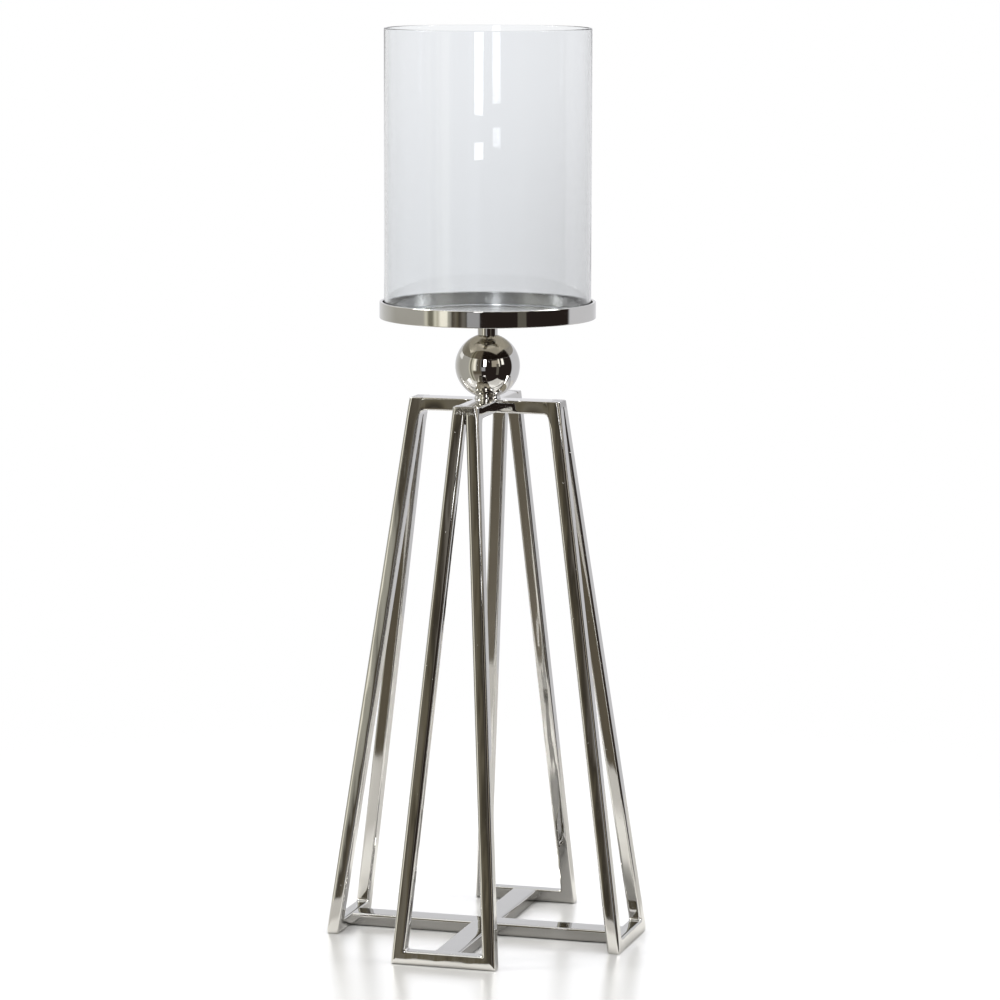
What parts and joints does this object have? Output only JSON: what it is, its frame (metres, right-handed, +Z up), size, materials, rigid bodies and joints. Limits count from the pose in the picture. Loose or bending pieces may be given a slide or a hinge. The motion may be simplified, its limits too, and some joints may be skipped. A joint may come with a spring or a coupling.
{
  "type": "candle lantern",
  "caption": "Tall polished-nickel candle lantern: an open glass cylinder in a round tray, on a ball and a four-legged frame of square bar with a cross at top and base.",
  "frame": {"origin": "centre of the base on the floor, on the stem's axis", "axes": "+Z up along the stem; the front leg points to -Y and the right leg to +X"},
  "size_m": [0.286, 0.286, 0.8479],
  "materials": {
    "polished_nickel": "mirror-polished nickel plate on ground bar, faint polishing waves",
    "stem_nickel": "mirror-polished nickel plate on turned and spun parts",
    "tray_nickel": "mirror-polished nickel plate",
    "zinc_steel": "zinc-plated thread",
    "clear_glass": "clear, fire-polished edges"
  },
  "bodies": {
    "stand": {"front_upright_left": "polished_nickel", "front_upright_right": "polished_nickel", "front_foot_bar": "polished_nickel", "right_upright_left": "polished_nickel", "right_upright_right": "polished_nickel", "right_foot_bar": "polished_nickel", "rear_upright_left": "polished_nickel", "rear_upright_right": "polished_nickel", "rear_foot_bar": "polished_nickel", "left_upright_left": "polished_nickel", "left_upright_right": "polished_nickel", "left_foot_bar": "polished_nickel", "base_bar": "polished_nickel", "base_arm_front": "polished_nickel", "base_arm_rear": "polished_nickel", "top_bar": "polished_nickel", "top_arm_front": "polished_nickel", "top_arm_rear": "polished_nickel", "stud": "zinc_steel", "collar": "stem_nickel", "ball": "stem_nickel", "neck": "stem_nickel", "tray_floor": "tray_nickel", "tray_rim": "tray_nickel"},
    "glass": {"glass_cylinder": "clear_glass"}
  },
  "joints": [
    {"name": "glass_lift", "type": "slide", "parent": "stand", "child": "glass", "axis": [0, 0, 1], "range_m": [0, 0.28]}
  ]
}
